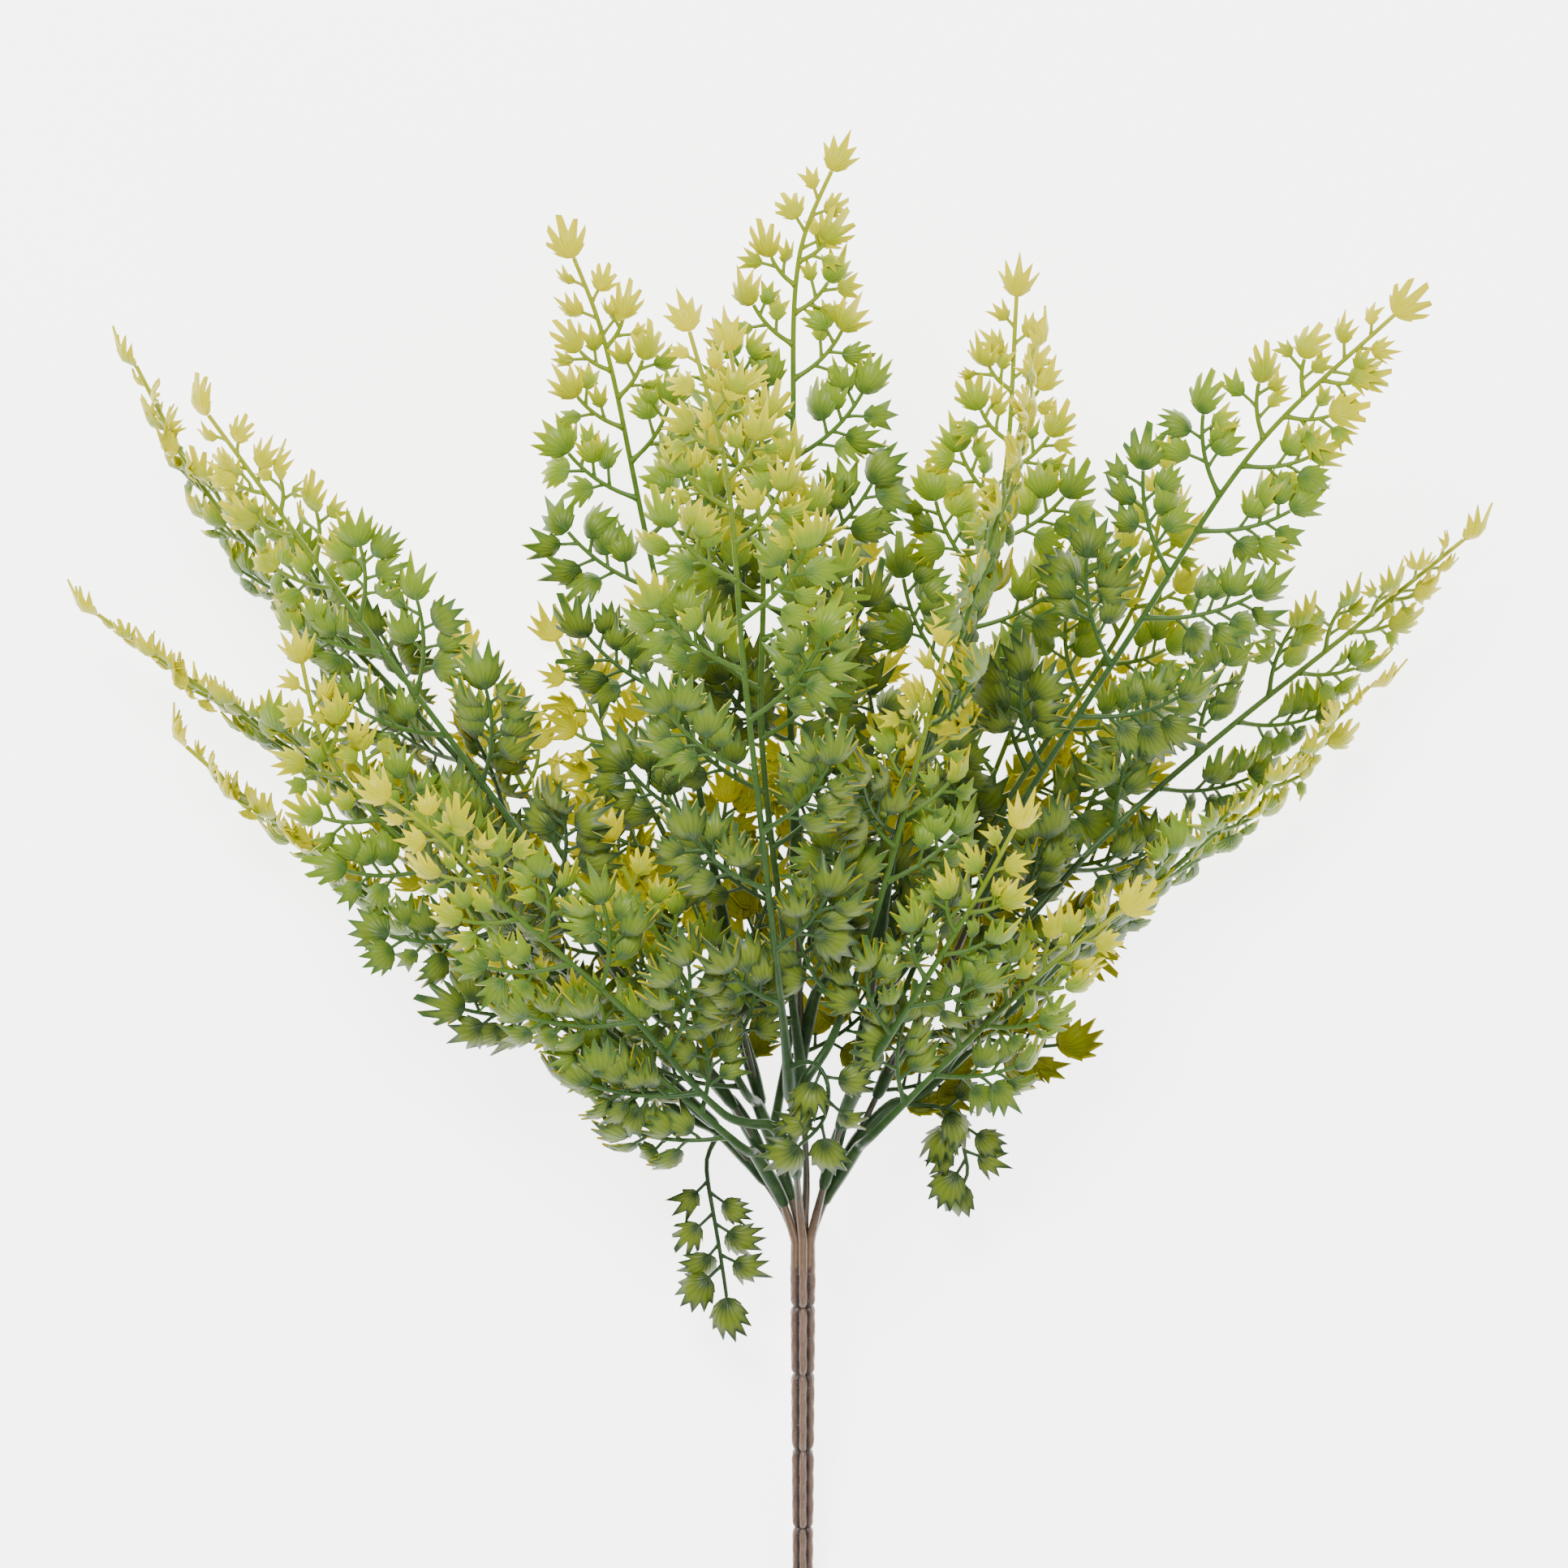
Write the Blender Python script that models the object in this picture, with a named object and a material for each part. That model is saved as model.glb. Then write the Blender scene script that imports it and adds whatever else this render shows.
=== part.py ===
"""Artificial maidenhair-fern bush, lying on its side as it does on a table.

Seven wire-cored stems leave a moulded, notched bundle. Each stem carries moulded fern sprays: one
plugged on its end and others on collars along it. A spray is a rachis with alternate branches, and
each branch is one thin blade that has the outline of its leaflets.

Metres, +Z up. The bush lies along +Y, and the stem bundle points to -Y. Places are written in
millimetres as (right of the crown, beyond the crown, height above the table).
"""

import math

import bmesh
import bpy
from mathutils import Vector
from mathutils.bvhtree import BVHTree

MM = 0.001
UP = Vector((0, 0, 1))
CROWN = Vector((0.00675, -0.0943, 0.042))  # where the stems leave the bundle

# The bundle: the stems fused side by side, with a notch every segment.
BUNDLE_LENGTH = 0.135
BUNDLE_END_HEIGHT = 0.00288
BUNDLE_TOP_RADIUS = 0.0041
BUNDLE_END_RADIUS = 0.0030
BUNDLE_NOTCHES = (0.017, 0.038, 0.0618, 0.086, 0.1105)  # from the crown
NOTCH_SHARE = 0.74  # radius in a notch over the radius beside it
NOTCH_EASE = 0.0013
LOBE_OUTLINE = (1.0, 0.95, 0.80, 0.95)  # share of the radius, from one lobe's top to the next
LOBES = 6

STEM_RADIUS = 0.001
STEM_RING = 0.0025  # six stems stand on this circle round the seventh
STEM_GAP = 0.0004
STEM_STRAIGHT = 0.003
STEM_STEP = 0.008

# A collar is the moulded tube that grips a stem.
COLLAR_BORE = 0.0015
COLLAR_WALL = 0.0025
COLLAR_LENGTH = 0.006
COLLAR_SIDES = 8

# A rachis is a bar, thick at its sleeve and thin at its tip.
SLEEVE_LENGTH = 0.030
SLEEVE_STRAIGHT = 0.006
SLEEVE_START = (0.006, 0.012)  # along the stem from the middle of the collar
SLEEVE_HALF = 0.0016
ROOT_HALF = 0.0010
RACHIS_HALF = 0.0008
BAR_STAND_OFF = 0.0029

BLADE_HALF = 0.0004  # half a blade's thickness
ROOM = 0.0005  # kept free round a blade
BRANCH_FOOT = 0.0006  # half the length of bar that a branch grows from

# Branches of a spray, counted from its tip: distance from the tip, length and end leaflet, mm.
BRANCHES = (
    (35, 21, 12.0),
    (42, 22, 12.0),
    (50, 25, 12.5),
    (59, 28, 12.5),
    (69, 32, 13.0),
    (80, 37, 13.5),
    (92, 41, 14.0),
    (107, 45, 14.5),
    (122, 47, 15.0),
    (139, 47, 15.5),
    (157, 45, 15.5),
    (176, 42, 16.0),
    (196, 38, 16.0),
    (215, 34, 16.0),
)
BAR_EASE = 0.020  # the bar's first edge past its foot
TIP_BLADE = ((26, 0.0008), (20, 0.006), (9, 0.0055), (0, 0.0015))  # mm from the tip, half width
SMALLEST_FOOT = 0.021  # the sleeve below the first branch is bare
BLADE = ((0.25, 0.0), (0.68, 0.52), (1.0, 0.16))  # share of its length, half width over its end leaflet
STALK_HALF = 0.0006
LEAN_AT_FOOT = 62  # between a branch and its bar, in degrees
LEAN_AT_TIP = 26
LIFTS = (0, 14, -14, 28, -28, 42, -42, 56, -56, 70, -70)  # tried in turn until a branch has room
SHORTER = (1.0, 0.8, 0.6)
DEEPEST_CLAMP = 0.007  # a branch that would dip further below the table takes another lift

# Stems: place on the ring in degrees from the top (None is the middle), then the route.
STEMS = {
    "right": (120, [(7, 16, 43), (16, 34, 46), (28, 58, 51), (39, 76, 56), (54, 109, 66)]),
    "inner_right": (60, [(5, 15, 47), (12, 41, 57), (18, 65, 67), (22, 92, 80)]),
    "middle": (None, [(1, 20, 45), (0, 45, 49), (-1, 75, 55), (-2, 114, 66)]),
    "front": (0, [(-1, 12, 48), (-2, 24, 57), (-4, 50, 80)]),
    "inner_left": (180, [(-5, 20, 41), (-13, 46, 44), (-20, 74, 49), (-23, 94, 54)]),
    "left": (300, [(-7, 17, 46), (-15, 34, 50), (-28, 53, 55), (-45, 73, 60), (-57, 89, 62)]),
    "low_left": (240, [(-7, 14, 40), (-20, 31, 40), (-33, 43, 42), (-47, 55, 46)]),
}

# Sprays: stem, distance of the collar beyond the crown (None for the stem's end), roll of the painted
# side from straight up towards the right in degrees, and the route.
SPRAYS = {
    "right_end": ("right", None, 0, [(60, 125, 70), (95, 180, 88), (130, 233, 103), (174, 275, 115)]),
    "right_middle": (
        "right", 76, 60,
        [(54, 86, 52), (86, 119, 48), (120, 149, 46), (155, 177, 46), (198, 212, 54)],
    ),
    "right_front": ("right", 18, 35, [(20, 34, 58), (44, 58, 67), (72, 84, 72), (98, 104, 74)]),
    "right_low": ("right", 32, 85, [(34, 45, 40), (77, 85, 37), (123, 124, 35), (171, 170, 40)]),
    "right_behind": ("right", 50, 185, [(46, 66, 36), (68, 98, 22), (88, 138, 12), (104, 186, 6)]),
    "inner_right_end": (
        "inner_right", None, 75,
        [(29, 130, 100), (46, 182, 118), (60, 230, 132), (66, 266, 144)],
    ),
    "inner_right_front": (
        "inner_right", 40, 20,
        [(20, 56, 74), (34, 78, 88), (50, 104, 98), (64, 130, 102)],
    ),
    "inner_right_behind": (
        "inner_right", 60, 15,
        [(29, 82, 58), (64, 138, 42), (98, 191, 44), (107, 235, 56)],
    ),
    "inner_right_floor": (
        "inner_right", 22, 180,
        [(22, 58, 32), (38, 95, 18), (56, 138, 8), (72, 180, 0.4), (79, 204, 0.4)],
    ),
    "middle_end": ("middle", None, 0, [(-4, 170, 82), (-3, 240, 98), (-1, 288, 106), (11, 318, 112)]),
    "middle_right": ("middle", 60, 5, [(14, 91, 46), (39, 154, 50), (57, 215, 64), (62, 284, 82)]),
    "middle_left": ("middle", 42, -5, [(-6, 95, 76), (-12, 150, 104), (-12, 205, 122), (-22, 266, 136)]),
    "front_end": ("front", None, 0, [(-10, 106, 118), (-17, 170, 148), (-22, 225, 165), (-34, 270, 173)]),
    "front_left": (
        "front", 26, -20,
        [(-22, 40, 70), (-50, 70, 92), (-85, 101, 110), (-105, 122, 118), (-124, 136, 122)],
    ),
    "front_right": ("front", 36, 25, [(8, 62, 76), (20, 96, 92), (32, 140, 108), (42, 182, 122)]),
    "inner_left_end": (
        "inner_left", None, -5,
        [(-33, 149, 60), (-47, 215, 65), (-58, 266, 72), (-69, 295, 78)],
    ),
    "inner_left_front": (
        "inner_left", 30, -10,
        [(-17, 47, 60), (-30, 72, 74), (-46, 100, 84), (-58, 126, 88)],
    ),
    "inner_left_behind": (
        "inner_left", 48, 180,
        [(-22, 75, 34), (-40, 120, 20), (-62, 158, 10), (-76, 185, 4)],
    ),
    "inner_left_floor": (
        "inner_left", 20, 180,
        [(-4, 60, 26), (4, 100, 14), (12, 142, 6), (16, 185, 0.4), (18, 208, 0.4)],
    ),
    "left_end": ("left", None, -75, [(-90, 132, 56), (-130, 175, 53), (-172, 219, 54), (-197, 264, 63)]),
    "left_upper": ("left", 70, -45, [(-60, 91, 74), (-92, 136, 85), (-134, 192, 92), (-175, 248, 100)]),
    "left_lower": (
        "left", 46, -85,
        [(-45, 62, 42), (-84, 94, 38), (-130, 132, 36), (-170, 160, 36), (-212, 190, 42)],
    ),
    "left_front": ("left", 17, -30, [(-17, 30, 60), (-40, 50, 74), (-66, 70, 82), (-92, 88, 85)]),
    "left_behind": ("left", 30, 175, [(-26, 48, 36), (-52, 86, 20), (-82, 134, 10), (-102, 180, 4)]),
    "low_left_end": (
        "low_left", None, -5,
        [(-64, 70, 56), (-102, 106, 70), (-136, 143, 80), (-146, 178, 88)],
    ),
    "low_left_side": (
        "low_left", 24, -85,
        [(-31, 37, 34), (-69, 64, 30), (-116, 95, 30), (-155, 125, 30), (-186, 152, 36)],
    ),
    "low_left_floor": (
        "low_left", 40, 180,
        [(-42, 58, 26), (-72, 86, 12), (-106, 117, 3), (-124, 131, 0.4), (-141, 145, 0.4)],
    ),
}

# A long low branch near a spray's foot: distance along the bar in mm, side, and its own route.
LOW_BRANCHES = {
    "low_left_side": (9, 1, [(-28, 27, 34), (-28, 21, 34), (-26, 9, 33), (-24, -3, 31), (-21, -24, 28)]),
    "right_low": (12, 1, [(45, 40, 36), (47, 30, 33), (48, 21, 29), (41, 12, 26)]),
    "front_end": (6, 1, [(3, 56, 89), (7, 50, 91), (6, 40, 88), (0, 33, 84), (-9, 27, 80)]),
}
LOW_BLADE = ((0.06, 0.0), (0.25, 0.0), (0.50, 0.0045), (0.80, 0.0050), (1.0, 0.0010))  # share, half width

COLOURS = {
    "bundle": ((0.16, 0.09, 0.05), 0.45),
    "stem": ((0.07, 0.06, 0.03), 0.45),
    "frond": ((0.12, 0.24, 0.05), 0.5),
}


def clear_scene():
    for thing in list(bpy.data.objects):
        bpy.data.objects.remove(thing, do_unlink=True)


def plastic(name):
    """A matte moulded plastic of the named colour."""
    colour, roughness = COLOURS[name]
    material = bpy.data.materials.get(name) or bpy.data.materials.new(name)
    material.use_nodes = True
    shader = material.node_tree.nodes["Principled BSDF"]
    shader.inputs["Base Color"].default_value = (*colour, 1)
    shader.inputs["Roughness"].default_value = roughness
    shader.inputs["Metallic"].default_value = 0
    return material


def add_object(name, mesh, colour):
    thing = bpy.data.objects.new(name, mesh)
    mesh.materials.append(plastic(colour))
    bpy.context.scene.collection.objects.link(thing)
    return thing


def place(point):
    """A place written in millimetres from the crown, in metres from the origin."""
    right, beyond, height = point
    return Vector((CROWN.x + right * MM, CROWN.y + beyond * MM, height * MM))


class Route:
    """A smooth curve through a few points, measured along its length."""

    def __init__(self, points, steps=12):
        ends = [2 * points[0] - points[1], *points, 2 * points[-1] - points[-2]]
        self.points = [points[0]]
        for a, b, c, d in zip(ends, ends[1:], ends[2:], ends[3:]):
            span = (c - b).length
            leave = (c - a) * span / ((b - a).length + span)
            arrive = (d - b) * span / ((d - c).length + span)
            for k in range(1, steps + 1):
                t = k / steps
                rise = t * t * (3 - 2 * t)
                bend = leave * t * (1 - t) ** 2 - arrive * t * t * (1 - t)
                self.points.append(b.lerp(c, rise) + bend)
        self.marks = [0.0]
        for a, b in zip(self.points, self.points[1:]):
            self.marks.append(self.marks[-1] + (b - a).length)
        self.length = self.marks[-1]

    def at(self, distance):
        """The point at that distance along the curve, and the direction there."""
        distance = min(max(distance, 0.0), self.length)
        k = next(i for i in range(1, len(self.marks)) if self.marks[i] >= distance - 1e-12)
        a, b = self.points[k - 1], self.points[k]
        share = (distance - self.marks[k - 1]) / (self.marks[k] - self.marks[k - 1])
        return a.lerp(b, share), (b - a).normalized()

    def beyond(self, y):
        """The distance along the curve at which it first passes that y."""
        k = next(i for i, p in enumerate(self.points) if p.y >= y)
        return self.marks[k]


def bundle_axis():
    """The bundle's direction, from the crown to its cut end."""
    drop = CROWN.z - BUNDLE_END_HEIGHT
    run = math.sqrt(BUNDLE_LENGTH**2 - drop**2)
    return Vector((0, -run, -drop)) / BUNDLE_LENGTH


def ring_direction(degrees):
    """The direction from the bundle's axis to a stem of the ring, in degrees from the top."""
    along = bundle_axis()
    top = along.cross(Vector((1, 0, 0))).normalized()
    top = top if top.z > 0 else -top
    angle = math.radians(degrees)
    return math.cos(angle) * top + math.sin(angle) * Vector((1, 0, 0))


def bundle_radius(distance):
    """The bundle's radius at that distance from the crown, notches included."""
    share = distance / BUNDLE_LENGTH
    radius = BUNDLE_TOP_RADIUS + (BUNDLE_END_RADIUS - BUNDLE_TOP_RADIUS) * share
    gap = min(abs(distance - notch) for notch in BUNDLE_NOTCHES)
    return radius * (NOTCH_SHARE if gap < 1e-6 else 1.0)


def make_bundle():
    """Lobed bar with a notch between its segments."""
    cuts = {0.0, BUNDLE_LENGTH}
    for notch in BUNDLE_NOTCHES:
        cuts |= {notch - NOTCH_EASE, notch, notch + NOTCH_EASE}
    along = bundle_axis()
    form = bmesh.new()
    rings = []
    for distance in sorted(cuts):
        ring = []
        for k in range(LOBES * len(LOBE_OUTLINE)):
            out = ring_direction(360 * k / (LOBES * len(LOBE_OUTLINE)))
            radius = bundle_radius(distance) * LOBE_OUTLINE[k % len(LOBE_OUTLINE)]
            ring.append(form.verts.new(CROWN + along * distance + out * radius))
        rings.append(ring)
    for upper, lower in zip(rings, rings[1:]):
        for k, corner in enumerate(upper):
            form.faces.new((corner, upper[k - 1], lower[k - 1], lower[k]))
    form.faces.new(rings[0])
    form.faces.new(rings[-1])
    bmesh.ops.recalc_face_normals(form, faces=form.faces)
    mesh = bpy.data.meshes.new("stem_bundle")
    form.to_mesh(mesh)
    form.free()
    return add_object("stem_bundle", mesh, "bundle")


def stem_route(name):
    """A stem's route: straight out of the bundle, then along its points."""
    ring, points = STEMS[name]
    offset = Vector() if ring is None else ring_direction(ring) * STEM_RING
    start = CROWN + offset - bundle_axis() * STEM_GAP
    return Route([start, start - bundle_axis() * STEM_STRAIGHT, *(place(p) for p in points)])


def make_stem(name, route):
    """A round wire-cored stem."""
    curve = bpy.data.curves.new(f"stem_{name}", "CURVE")
    curve.dimensions = "3D"
    curve.bevel_depth = STEM_RADIUS
    curve.bevel_resolution = 1
    curve.use_fill_caps = True
    count = math.ceil(route.length / STEM_STEP) + 1
    spline = curve.splines.new("POLY")
    spline.points.add(count - 1)
    for k, point in enumerate(spline.points):
        point.co = (*route.at(route.length * k / (count - 1))[0], 1)
    return add_object(f"stem_{name}", curve, "stem")


class Sheet:
    """A sheet of quads that becomes one closed solid, each corner with its own half thickness."""

    def __init__(self):
        self.corners = []
        self.quads = []

    def corner(self, point, normal, half):
        if point.z < half:
            point, normal = Vector((point.x, point.y, half)), Vector((0, 0, 1 if normal.z >= 0 else -1))
        self.corners.append((point, normal, half))
        return len(self.corners) - 1

    def strip(self, first, rows):
        """Quads from the edge `first` through `rows` of (left, right) corners. Gives the last edge."""
        for row in rows:
            self.quads.append((first[0], first[1], row[1], row[0]))
            first = row
        return first

    def solid(self, open_edge=None, more=0.0):
        """(points, faces) of the closed solid, `more` thicker on each side, with one edge left open."""
        count = len(self.corners)
        points = [p + n * (h + more) for p, n, h in self.corners]
        points += [p - n * (h + more) for p, n, h in self.corners]
        sides = [(a, b) for quad in self.quads for a, b in zip(quad, (*quad[1:], quad[0]))]
        shared = {frozenset(side) for side in sides if (side[1], side[0]) in sides}
        faces = [tuple(quad) for quad in self.quads]
        faces += [tuple(k + count for k in reversed(quad)) for quad in self.quads]
        for a, b in sides:
            if frozenset((a, b)) not in shared and frozenset((a, b)) != open_edge:
                faces.append((b, a, a + count, b + count))
        return points, faces


class Spray:
    """One moulded spray: its rachis bar on a collar or a stem's end, then the branches that find room."""

    def __init__(self, name, stem):
        self.name = name
        beyond, self.roll, points = SPRAYS[name][1:]
        self.on_end = beyond is None
        if self.on_end:
            foot, self.grip = stem.at(stem.length)
            start = foot + self.grip * STEM_GAP
            first = [start, start + self.grip * SLEEVE_STRAIGHT]
        else:
            self.foot, self.grip = stem.at(stem.beyond(CROWN.y + beyond * MM))
            self.choose_exit(place(points[0]))
            beside = self.foot + self.out * BAR_STAND_OFF
            first = [beside + self.grip * s for s in SLEEVE_START]
        self.route = Route([*first, *(place(p) for p in points)])
        self.sheet = Sheet()
        self.build_bar()

    def choose_exit(self, towards):
        """The face of the collar that the bar leaves from: the one that looks most along its way."""
        normal = self.painted(self.grip)
        side = self.grip.cross(normal)
        self.faces_side, self.sign, self.out = max(
            ((flat, sign, sign * way) for flat, way in ((False, normal), (True, side)) for sign in (-1, 1)),
            key=lambda choice: choice[2].dot(towards - self.foot),
        )

    def first_edge(self):
        """The collar's missing outer face, as the first edge of the bar."""
        half_face = COLLAR_WALL * math.sin(math.pi / COLLAR_SIDES)
        middle = self.foot + self.out * COLLAR_WALL * math.cos(math.pi / COLLAR_SIDES)
        normal = self.painted(self.grip)
        edge = []
        for k in (-1, 1):
            if self.faces_side:
                point = middle - self.grip * self.sign * k * COLLAR_LENGTH / 2
                edge.append(self.sheet.corner(point, normal, half_face))
            else:
                point = middle + self.grip.cross(normal) * k * half_face
                edge.append(self.sheet.corner(point, -self.sign * self.grip, COLLAR_LENGTH / 2))
        return tuple(edge)

    def painted(self, along):
        """The direction that the painted side faces, square to the rachis."""
        angle = math.radians(self.roll)
        wanted = Vector((math.sin(angle), 0, math.cos(angle)))
        return (wanted - along * wanted.dot(along)).normalized()

    def bar_half(self, along):
        """Half the bar's thickness at that distance along the route."""
        if along < SLEEVE_LENGTH:
            share = along / SLEEVE_LENGTH
            return SLEEVE_HALF + (ROOT_HALF - SLEEVE_HALF) * share
        share = (along - SLEEVE_LENGTH) / (self.route.length - SLEEVE_LENGTH)
        return ROOT_HALF + (RACHIS_HALF - ROOT_HALF) * share

    def edge(self, along, half_width, half):
        """The two corners across the bar or the tip blade at that distance along the route."""
        point, direction = self.route.at(along)
        normal = self.painted(direction)
        side = direction.cross(normal)
        left = self.sheet.corner(point - side * half_width, normal, half)
        right = self.sheet.corner(point + side * half_width, normal, half)
        return left, right

    def build_bar(self):
        """The strip of the bar, with a short edge on each side for every branch to grow from."""
        if self.on_end:
            self.first = self.edge(0, SLEEVE_HALF, SLEEVE_HALF)
        else:
            self.first = self.first_edge()
        feet = []
        for from_tip, length, leaf in BRANCHES:
            along = self.route.length - from_tip * MM
            if along > SMALLEST_FOOT:
                feet.append((along, length * MM, leaf * MM))
        feet.reverse()
        self.feet = []
        self.low = None
        edge = self.first
        if not self.on_end:
            edge = self.sheet.strip(edge, [self.edge(0, SLEEVE_HALF, SLEEVE_HALF)])
        if self.name in LOW_BRANCHES:
            along, side, points = LOW_BRANCHES[self.name]
            edge, foot = self.foot_edge(edge, along * MM, side)
            start = self.route.at(along * MM)[0]
            self.low = (foot, Route([start, *(place(p) for p in points)]))
        half = self.bar_half(BAR_EASE)
        edge = self.sheet.strip(edge, [self.edge(BAR_EASE, half, half)])
        for k, (along, length, leaf) in enumerate(feet):
            side = 1 if k % 2 else -1
            edge, foot = self.foot_edge(edge, along, side)
            self.feet.append((along, side, foot, length, leaf))
        tip = self.route.length
        for back, wide in TIP_BLADE:
            edge = self.sheet.strip(edge, [self.edge(tip - back * MM, wide, BLADE_HALF)])

    def foot_edge(self, edge, along, side):
        """Bar edges below and above a branch's foot. Gives the last edge and the edge of the foot."""
        half = self.bar_half(along)
        low = self.edge(along - BRANCH_FOOT, half, half)
        high = self.edge(along + BRANCH_FOOT, half, half)
        edge = self.sheet.strip(edge, [low, high])
        return edge, ((high[1], low[1]) if side > 0 else (low[0], high[0]))

    def low_blade(self, route):
        """The rows of (point, normal, half width) of the low branch, along its own route."""
        rows = []
        for share, width in LOW_BLADE:
            point, heading = route.at(route.length * share)
            normal = (UP - heading * heading.dot(UP)).normalized()
            rows.append((point, normal, heading.cross(normal) * (STALK_HALF + width)))
        return rows

    def blade(self, foot, lift, shorter):
        """The rows of (point, normal, half width) of one branch, bent towards the spray's tip."""
        along, side, _, length, leaf = foot
        point, direction = self.route.at(along)
        normal = self.painted(direction)
        across = direction.cross(normal) * side
        angle = math.radians(lift)
        out = across * math.cos(angle) + normal * math.sin(angle)
        up = normal * math.cos(angle) - across * math.sin(angle)
        length *= shorter
        place_now = point + out * self.bar_half(along)
        rows = [(place_now, up, direction * side * BRANCH_FOOT)]
        before = 0.0
        for share, width in BLADE:
            lean = math.radians(LEAN_AT_FOOT + (LEAN_AT_TIP - LEAN_AT_FOOT) * (share + before) / 2)
            heading = direction * math.cos(lean) + out * math.sin(lean)
            place_now = place_now + heading * (share - before) * length
            before = share
            rows.append((place_now, up, heading.cross(up) * (STALK_HALF + width * leaf)))
        return rows

    def add_blade(self, sheet, edge, rows):
        for point, normal, across in rows:
            corners = [sheet.corner(point + across * k, normal, BLADE_HALF) for k in (-1, 1)]
            edge = sheet.strip(edge, [tuple(corners)])

    def trial(self, rows):
        """The blade alone, as a solid with room round it."""
        sheet = Sheet()
        point, normal, across = rows[0]
        edge = tuple(sheet.corner(point + across * k, normal, BLADE_HALF) for k in (-1, 1))
        self.add_blade(sheet, edge, rows[1:])
        return Solid(*sheet.solid(more=ROOM))

    def grow(self, others):
        """Add every branch that finds room among the other pieces. Gives the blades' solids."""
        grown = []
        if self.low:
            rows = self.low_blade(self.low[1])
            trial = self.trial(rows)
            assert not any(trial.meets(other) for other in others), self.name
            self.add_blade(self.sheet, self.low[0], rows[1:])
            grown.append(trial)
        for foot in self.feet:
            for shorter, lift in ((s, l) for s in SHORTER for l in LIFTS):
                rows = self.blade(foot, lift, shorter)
                if min(p.z for p, _, _ in rows) < -DEEPEST_CLAMP:
                    continue
                trial = self.trial(rows)
                if any(trial.meets(other) for other in others + grown):
                    continue
                self.add_blade(self.sheet, foot[2], rows[1:])
                grown.append(trial)
                break
        return grown

    def collar(self, points, faces):
        """The tube round the stem. Its missing outer face is where the bar starts."""
        count = len(self.sheet.corners)
        shared = [k + below for k in self.first for below in (0, count)]
        side = self.grip.cross(self.out)
        rings = []
        for radius, up in ((COLLAR_WALL, -0.5), (COLLAR_WALL, 0.5), (COLLAR_BORE, -0.5), (COLLAR_BORE, 0.5)):
            ring = []
            for k in range(COLLAR_SIDES):
                angle = math.pi / COLLAR_SIDES * (1 - 2 * k)
                spoke = self.out * math.cos(angle) + side * math.sin(angle)
                point = self.foot + spoke * radius + self.grip * COLLAR_LENGTH * up
                if radius == COLLAR_WALL and k < 2:
                    ring.append(min(shared, key=lambda corner: (points[corner] - point).length))
                    continue
                points.append(point)
                ring.append(len(points) - 1)
            rings.append(ring)
        low, high, bore_low, bore_high = rings
        for k in range(COLLAR_SIDES):
            j = (k + 1) % COLLAR_SIDES
            if k:
                faces.append((low[k], low[j], high[j], high[k]))
            faces.append((bore_low[k], bore_low[j], bore_high[j], bore_high[k]))
            faces.append((low[k], low[j], bore_low[j], bore_low[k]))
            faces.append((high[k], high[j], bore_high[j], bore_high[k]))

    def shape(self):
        """(points, faces) of the whole spray so far."""
        points, faces = self.sheet.solid(None if self.on_end else frozenset(self.first))
        if not self.on_end:
            self.collar(points, faces)
        return points, faces

    def make(self):
        points, faces = self.shape()
        form = bmesh.new()
        corners = [form.verts.new(p) for p in points]
        for face in faces:
            form.faces.new([corners[k] for k in face])
        bmesh.ops.recalc_face_normals(form, faces=form.faces)
        mesh = bpy.data.meshes.new(f"spray_{self.name}")
        form.to_mesh(mesh)
        form.free()
        return add_object(f"spray_{self.name}", mesh, "frond")


class Solid:
    """A piece's surface for the clearance test."""

    def __init__(self, points, faces):
        self.tree = BVHTree.FromPolygons(points, faces)
        self.low = [min(p[k] for p in points) for k in range(3)]
        self.high = [max(p[k] for p in points) for k in range(3)]

    def meets(self, other):
        if any(self.low[k] > other.high[k] or other.low[k] > self.high[k] for k in range(3)):
            return False
        return bool(self.tree.overlap(other.tree))


def solid_of(thing):
    mesh = bpy.data.meshes.new_from_object(thing.evaluated_get(bpy.context.evaluated_depsgraph_get()))
    solid = Solid([v.co.copy() for v in mesh.vertices], [tuple(p.vertices) for p in mesh.polygons])
    bpy.data.meshes.remove(mesh)
    return solid


def main():
    clear_scene()
    carriers = [make_bundle()]
    routes = {}
    for name in STEMS:
        routes[name] = stem_route(name)
        carriers.append(make_stem(name, routes[name]))
    bpy.context.view_layer.update()
    placed = [solid_of(thing) for thing in carriers]
    sprays = [Spray(name, routes[facts[0]]) for name, facts in SPRAYS.items()]
    bars = {spray.name: Solid(*spray.shape()) for spray in sprays}
    for spray in sprays:
        others = placed + [bars[s.name] for s in sprays if s is not spray]
        placed += spray.grow(others)
    for spray in sprays:
        spray.make()


main()
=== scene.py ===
"""The looks of an artificial maidenhair-fern bush: moulded sprays on coated stems, and their bundle.

Metres, +Z up. The bush lies along +Y on a pale floor and is seen from above. Places are written in
millimetres as (right of the crown, beyond the crown, height above the floor), as in the construction.
"""

import math
import random

import bpy
import numpy as np
from mathutils import Matrix, Vector
from mathutils.kdtree import KDTree


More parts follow.
